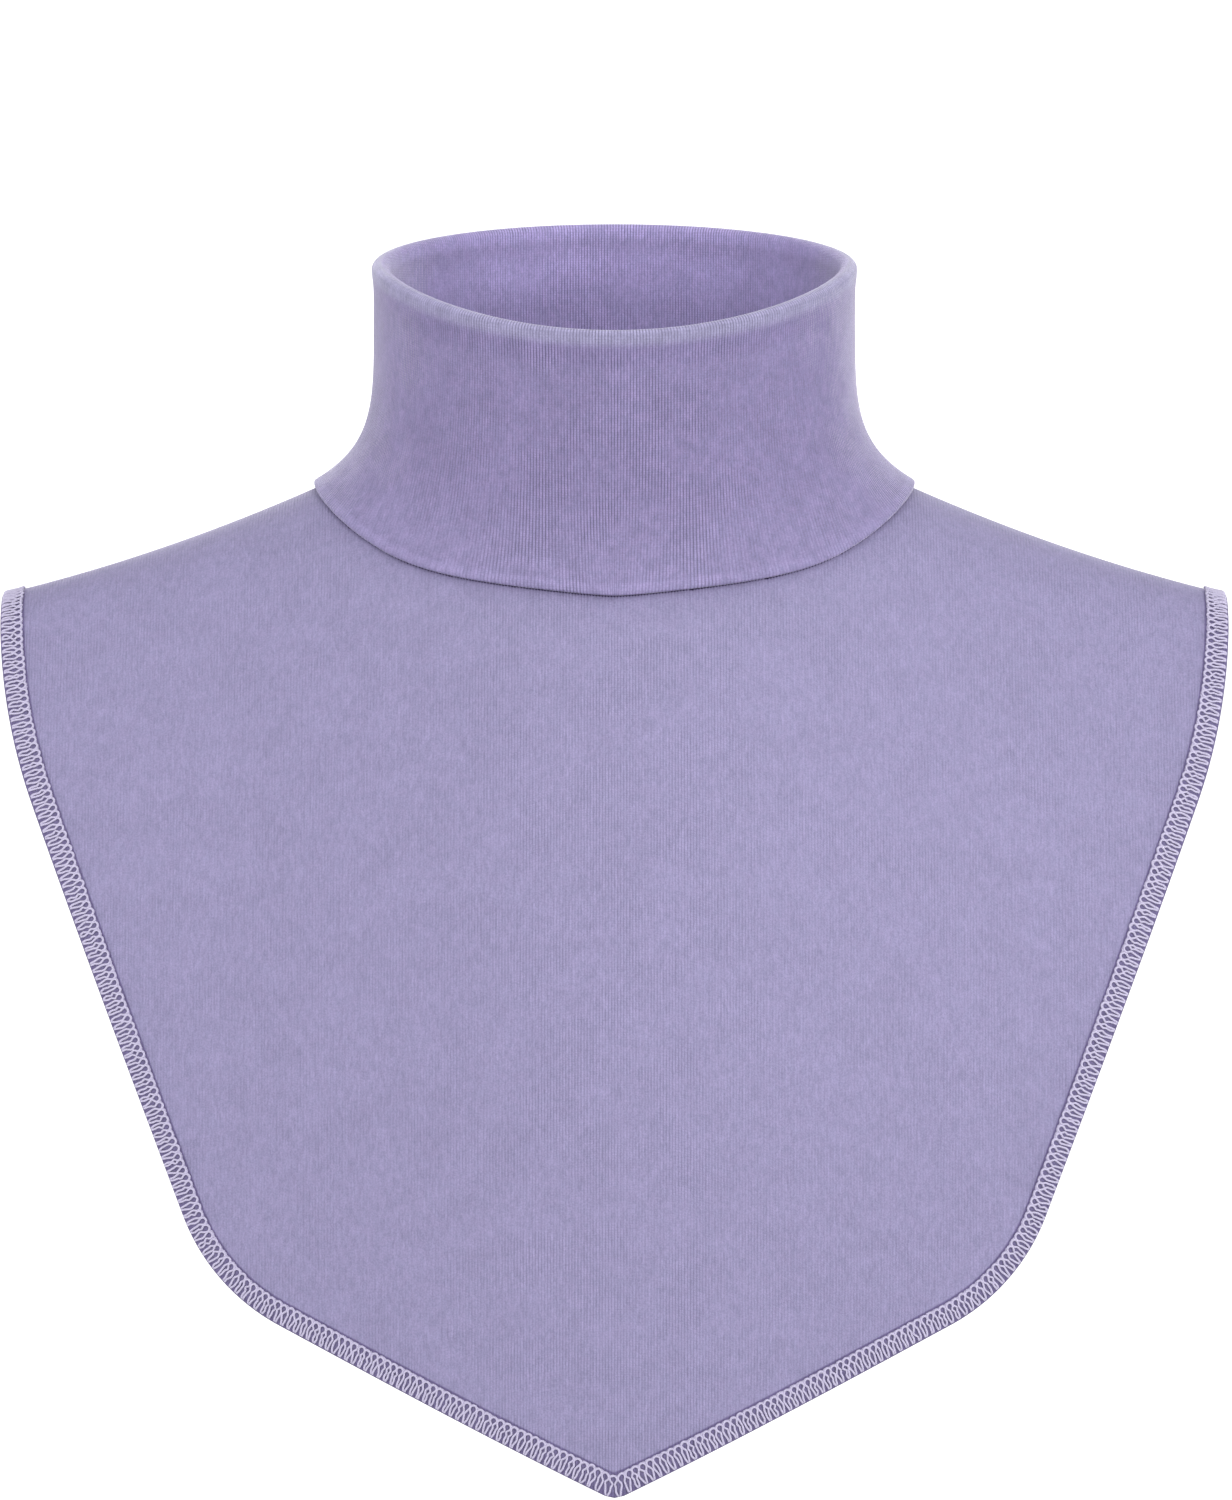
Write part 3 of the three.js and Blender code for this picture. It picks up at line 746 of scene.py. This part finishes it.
def knit_material(name, tint, rib_depth, painted_rib_shade, mottling, sheen, painted_light_zones):
    """Fine knit cloth: upright ribs of small V stitches with painted shade in their grooves, a heathered
    mottle in the dye, and short fibres.
    painted_light_zones gives the tone and the paleness of the cloth's edges and folds, from the zones layer:
    painted shade, painted light and a painted sheen."""
    def varied(tone, value, low, high, most):
        return s.math("MULTIPLY", tone, s.ramp(value, low, high, 1 - most, 1 + most))

    def dyed(shift):
        return tuple(c * (1 + k * mottling) for c, k in zip(tint, shift)) + (1.0,)

    s = Shader(name)
    u, v = s.uv("cloth")
    place = s.place()
    across = s.math("FRACT", s.math("DIVIDE", u, RIB_PITCH))
    from_middle = s.math("ABSOLUTE", s.math("SUBTRACT", across, 0.5))
    rib = s.math("SUBTRACT", 1.0, s.math("POWER", s.math("MULTIPLY", from_middle, 2.0), 2.5))
    slant = s.math("MULTIPLY", from_middle, 0.9)
    rows = s.math("ADD", s.math("DIVIDE", v, ROW_PITCH), slant)
    row = s.math("SINE", s.math("MULTIPLY", rows, 2 * math.pi))
    stitch = s.math("MULTIPLY_ADD", row, 0.12, 0.88)
    height = s.math("MULTIPLY", rib, stitch)
    patches = s.noise(place, 60.0, 2.0, 0.55)
    clear = s.ramp(patches, 0.38, 0.62, 0.45, 1.0)
    fibre = s.noise(place, 2300.0, 2.0, 0.6)
    mottle = s.noise(place, 420.0, 3.0, 0.6)
    streaks = s.noise(s.stretched(u, v, 1300.0, 260.0), 1.0, 2.0, 0.6)
    dye = s.noise(place, 150.0, 3.0, 0.6)
    # The ribs get painted shade in their grooves and painted light on their crowns by the same amount, so
    # patches keep one tone.
    painted_rib_tone = s.math("MULTIPLY", s.math("SUBTRACT", height, 0.63), painted_rib_shade)
    # The painted rib shade fades from the middle towards the sides.
    painted_rib_tone = s.math("MULTIPLY", painted_rib_tone, s.ramp(s.across(place), 15 * MM, 50 * MM, 1.0, 0.35))
    tone = s.math("MULTIPLY_ADD", painted_rib_tone, clear, 1.0)
    tone = varied(tone, fibre, 0.25, 0.75, 0.12)
    tone = varied(tone, streaks, 0.25, 0.75, 0.08)
    tone = varied(tone, mottle, 0.3, 0.7, 0.038 * mottling)
    tone = varied(tone, dye, 0.3, 0.7, 0.022 * mottling)
    tone = varied(tone, s.noise(place, 75.0, 1.0), 0.3, 0.7, 0.010 * mottling)
    colour = s.mix(s.ramp(mottle, 0.35, 0.65), dyed((-0.008, 0.003, 0.002)), dyed((0.008, -0.004, -0.002)))
    # Painted shade and light from the zones, and a painted sheen that mixes in a paler colour.
    painted_light_tone, painted_sheen = painted_light_zones(s, rib)
    pale = tuple(c * k for c, k in zip(tint, (1.0, 1.09, 0.94))) + (1.0,)
    colour = s.mix(painted_sheen, colour, pale)
    s.link(s.paint_light_and_shade(s.shade(colour, tone), painted_light_tone), s.principled.inputs["Base Color"])
    s.link(s.ramp(mottle, 0.3, 0.7, 0.86, 0.98), s.principled.inputs["Roughness"])
    s.principled.inputs["Specular IOR Level"].default_value = 0.2
    s.principled.inputs["Sheen Weight"].default_value = sheen
    s.principled.inputs["Sheen Roughness"].default_value = 0.3
    s.principled.inputs["Sheen Tint"].default_value = (0.9, 0.88, 1.0, 1.0)
    relief = s.math("MULTIPLY", height, clear)
    relief = s.math("ADD", relief, s.math("MULTIPLY", fibre, 0.5))
    relief = s.math("ADD", relief, s.math("MULTIPLY", mottle, 0.8))
    s.bump(relief, rib_depth)
    return s.material


def bib_painted_shade(s, rib):
    """Painted shade: deep between the overlock's threads, thin along its heads, and a painted shadow by the
    collar's edge.
    """
    from_edge, from_collar = s.uv("zones")
    # Painted shade under the overlock's threads, ending past the heads, with a thin painted shadow along the
    # heads.
    painted_shade_under_threads = s.ramp(from_edge, 0.2 * MM, 1.6 * MM, 0.52, 0.72)
    heads_end = s.ramp(from_edge, 5.85 * MM, 6.35 * MM, 0.0, 0.28)
    from_heads = s.math("ABSOLUTE", s.math("SUBTRACT", from_edge, 5.9 * MM))
    painted_shade_by_heads = s.ramp(from_heads, 0.1 * MM, 0.5 * MM, -0.2, 0.0)
    tone = s.math("ADD", s.math("ADD", painted_shade_under_threads, heads_end), painted_shade_by_heads)
    # Painted shadow under the collar's edge: a dark line ticked by the ribs, a soft fall-off and a broad
    # faint shade.
    ticks = s.math("MULTIPLY_ADD", rib, 0.35 * MM, from_collar)
    painted_contact_shadow = s.ramp(ticks, 0.45 * MM, 0.95 * MM, 0.03, 0.84)
    soft = s.ramp(ticks, 0.6 * MM, 2.6 * MM, 0.0, 0.10)
    painted_broad_shadow = s.ramp(from_collar, 0.0, 12 * MM, 0.0, 0.05)
    return s.math("MULTIPLY", tone, s.math("ADD", painted_contact_shadow, s.math("ADD", soft, painted_broad_shadow))), 0.0


def collar_painted_light_and_shade(s, rib):
    """Painted highlights and shade: a pale crest with a bright ticked line along the rim, a darker band below
    it, a pale lip, painted light inside and low on the flare, and painted shade under the turned edge.
    """
    past_rim, from_edge = s.uv("zones")
    grooves = s.math("SUBTRACT", rib, 0.7)
    # Painted highlight on the rim's crest, with stronger rib ticks.
    crest_rise = s.ramp(past_rim, -5.0 * MM, -2.8 * MM)
    crest_fall = s.ramp(past_rim, 2.6 * MM, 5.2 * MM, 1.0, 0.0)
    crest = s.math("MULTIPLY", crest_rise, crest_fall)
    # A bright ticked line just past the crest, as painted highlight.
    line = s.ramp(s.math("ABSOLUTE", s.math("SUBTRACT", past_rim, 0.85 * MM)), 0.3 * MM, 0.9 * MM, 1.0, 0.0)
    # Painted shade in a band below the rim's roll, with stronger ribs.
    below_rise = s.ramp(past_rim, 3.6 * MM, 5.6 * MM)
    below_fall = s.ramp(past_rim, 8.0 * MM, 11.5 * MM, 1.0, 0.0)
    below = s.math("MULTIPLY", below_rise, below_fall)
    # Painted light inside the collar, strongest a little below the rim and weaker at the sides.
    inside = s.ramp(past_rim, -0.4 * MM, 0.3 * MM, 1.0, 0.0)
    near_depth = s.ramp(past_rim, -11 * MM, -5 * MM, 0.66, 0.44)
    far_depth = s.ramp(past_rim, -24 * MM, -12 * MM, -0.26, 0.0)
    # Painted light low on the flare, where it faces up, with some painted sheen there.
    low = s.ramp(from_edge, -28 * MM, -4 * MM)
    # Painted highlight on the lip above the turned edge.
    lip = s.ramp(s.math("ABSOLUTE", s.math("ADD", from_edge, 1.9 * MM)), 0.3 * MM, 1.7 * MM, 1.0, 0.0)
    # Painted shade where the edge turns under towards the bib.
    painted_shade_under_edge = s.ramp(from_edge, -0.35 * MM, 0.30 * MM, 1.0, 0.35)
    tone = s.math("MULTIPLY_ADD", crest, 0.22, 1.0)
    tone = s.math("MULTIPLY_ADD", line, 0.28, tone)
    tone = s.math("MULTIPLY_ADD", s.math("MULTIPLY", s.math("ADD", line, crest), grooves), 0.22, tone)
    tone = s.math("MULTIPLY_ADD", below, -0.08, tone)
    tone = s.math("MULTIPLY_ADD", s.math("MULTIPLY", below, grooves), 0.3, tone)
    tone = s.math("MULTIPLY_ADD", low, 0.13, tone)
    tone = s.math("MULTIPLY_ADD", lip, 0.13, tone)
    painted_inside_light = s.math("ADD", near_depth, far_depth)
    painted_inside_light = s.math("MULTIPLY", painted_inside_light, s.ramp(s.across(s.place()), 22 * MM, 58 * MM, 1.0, 0.5))
    tone = s.math("MULTIPLY_ADD", inside, painted_inside_light, tone)
    # The painted sheen: the outside of the crest, and some of the low flare.
    painted_sheen_on_crest = s.math("MULTIPLY", crest, s.math("SUBTRACT", 1.0, inside))
    return s.math("MULTIPLY", tone, painted_shade_under_edge), s.math("MULTIPLY_ADD", low, 0.2, painted_sheen_on_crest)


def thread_material():
    """Soft spun thread: a slow twist of plies and a few loose fibres."""
    s = Shader("overlock_thread")
    u, v = s.uv("cloth")
    place = s.place()
    ply_pitch = 0.9 * MM
    lean = s.math("DIVIDE", u, 2 * math.pi * THREAD_RADIUS)
    twist = s.math("FRACT", s.math("MULTIPLY", s.math("ADD", s.math("DIVIDE", v, ply_pitch), lean), 2.0))
    from_ply = s.math("ABSOLUTE", s.math("MULTIPLY_ADD", twist, 2.0, -1.0))
    ply = s.math("SUBTRACT", 1.0, s.math("POWER", from_ply, 2.0))
    fibre = s.noise(place, 2600.0, 2.0, 0.6)
    # The plies get painted shade in their grooves and a little painted light on their crowns.
    tone = s.math("MULTIPLY", s.ramp(ply, 0.0, 1.0, 0.86, 1.03), s.ramp(fibre, 0.25, 0.75, 0.93, 1.06))
    colour = s.shade((0.53, 0.49, 0.67), tone)
    s.link(colour, s.principled.inputs["Base Color"])
    s.principled.inputs["Roughness"].default_value = 0.72
    s.principled.inputs["Specular IOR Level"].default_value = 0.3
    s.principled.inputs["Sheen Weight"].default_value = 0.25
    s.principled.inputs["Sheen Roughness"].default_value = 0.5
    s.bump(s.math("ADD", ply, s.math("MULTIPLY", fibre, 0.4)), 0.06 * MM)
    return s.material


def stage_material():
    """A pale matte floor that glows away from its middle, so that light from below stays soft."""
    s = Shader("pale_studio")
    s.principled.inputs["Base Color"].default_value = (0.8, 0.8, 0.8, 1.0)
    s.principled.inputs["Roughness"].default_value = 0.9
    s.principled.inputs["Specular IOR Level"].default_value = 0.0
    s.principled.inputs["Emission Color"].default_value = (1.0, 1.0, 1.0, 1.0)
    length = s.nodes.new("ShaderNodeVectorMath")
    length.operation = "LENGTH"
    s.links.new(s.place(), length.inputs[0])
    s.link(s.ramp(length.outputs["Value"], 0.6, 1.3, 0.0, 0.5), s.principled.inputs["Emission Strength"])
    return s.material


# Stage, lights and camera

def make_stage():
    """A pale floor that sweeps up into a wall all round, so that it looks the same from every side."""
    floor, hole, radius, sweep, top = -0.42, 0.02, 9.0, 1.6, 2.2
    turn = np.linspace(0, np.pi / 2, 16)
    curve = [(radius - sweep + sweep * math.sin(a), floor + sweep * (1 - math.cos(a))) for a in turn]
    profile = [(hole, floor), *curve, (radius, top)]
    stations = 96
    angle = 2 * np.pi * np.arange(stations) / stations
    points = np.array([[(r * math.cos(a), r * math.sin(a), z) for r, z in profile] for a in angle])
    size = len(profile)
    i, j = np.meshgrid(np.arange(stations), np.arange(size - 1), indexing="ij")
    k = (i + 1) % stations
    faces = np.stack([i * size + j, k * size + j, k * size + j + 1, i * size + j + 1], axis=-1).reshape(-1, 4)
    bowl = mesh_object("studio_floor", points.reshape(-1, 3), faces, stage_material())


def area_light(name, place, size, power, colour=(1.0, 1.0, 1.0)):
    light = bpy.data.lights.new(name, "AREA")
    light.shape = "DISK"
    light.size = size
    light.energy = power
    light.color = colour
    made = bpy.data.objects.new(name, light)
    made.location = place
    made.rotation_euler = (LOOK_AT - Vector(place)).to_track_quat("-Z", "Y").to_euler()
    bpy.context.scene.collection.objects.link(made)


def collar_light(name, place, power, colour):
    """A soft narrow beam on the collar alone."""
    aim = Vector((0.02, -0.03, 0.025))
    light = bpy.data.lights.new(name, "SPOT")
    light.energy = power
    light.color = colour
    light.spot_size = math.radians(5.5)
    light.spot_blend = 1.0
    light.shadow_soft_size = 0.25
    made = bpy.data.objects.new(name, light)
    made.location = place
    made.rotation_euler = (aim - Vector(place)).to_track_quat("-Z", "Y").to_euler()
    bpy.context.scene.collection.objects.link(made)


def make_lights():
    area_light("key_from_right", (1.2, -5.2, 1.7), 2.2, 98, (1.0, 0.995, 0.95))
    area_light("rim_light_right", (3.5, -0.3, 0.9), 1.5, 9)
    area_light("rim_light_left", (-3.5, -0.1, 0.9), 1.5, 12)
    collar_light("collar_light_right", (2.9, -0.5, 0.7), 220, (0.97, 1.03, 0.95))
    world = bpy.data.worlds.new("studio_air")
    world.use_nodes = True
    world.node_tree.nodes["Background"].inputs["Color"].default_value = (1.0, 1.0, 1.0, 1.0)
    world.node_tree.nodes["Background"].inputs["Strength"].default_value = 0.9
    bpy.context.scene.world = world


def make_camera():
    data = bpy.data.cameras.new("camera")
    data.sensor_width = SENSOR
    data.lens = SENSOR * CAMERA_DISTANCE / PICTURE_HEIGHT
    data.clip_end = 30
    made = bpy.data.objects.new("camera", data)
    elevation = math.radians(CAMERA_ELEVATION)
    made.location = LOOK_AT + CAMERA_DISTANCE * Vector((0, -math.cos(elevation), math.sin(elevation)))
    made.rotation_euler = (LOOK_AT - made.location).to_track_quat("-Z", "Y").to_euler()
    bpy.context.scene.collection.objects.link(made)
    bpy.context.scene.camera = made


make_camera()
make_lights()
make_stage()
bpy.context.scene.view_settings.view_transform = "Standard"

ring = Ring()
bib_knit = knit_material(
    "lavender_knit", tint=(0.258, 0.236, 0.388), rib_depth=0.10 * MM, painted_rib_shade=0.36,
    mottling=1.0, sheen=0.55, painted_light_zones=bib_painted_shade)
collar_knit = knit_material(
    "lavender_knit_collar", tint=(0.200, 0.172, 0.314), rib_depth=0.12 * MM, painted_rib_shade=0.85,
    mottling=1.8, sheen=0.85, painted_light_zones=collar_painted_light_and_shade)
thread = thread_material()

bib = make_bib(ring, bib_knit)
collar = make_collar(collar_knit)
threads = make_threads(ring, thread)

for piece, node, slot in ((bib, "bib", "lavender_knit"), (collar, "collar", "lavender_knit"),
                          (threads[0], "overlock_edge", "overlock_thread")):
    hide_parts(node)
for piece in (bib, collar, *threads):
    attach(piece, "root")
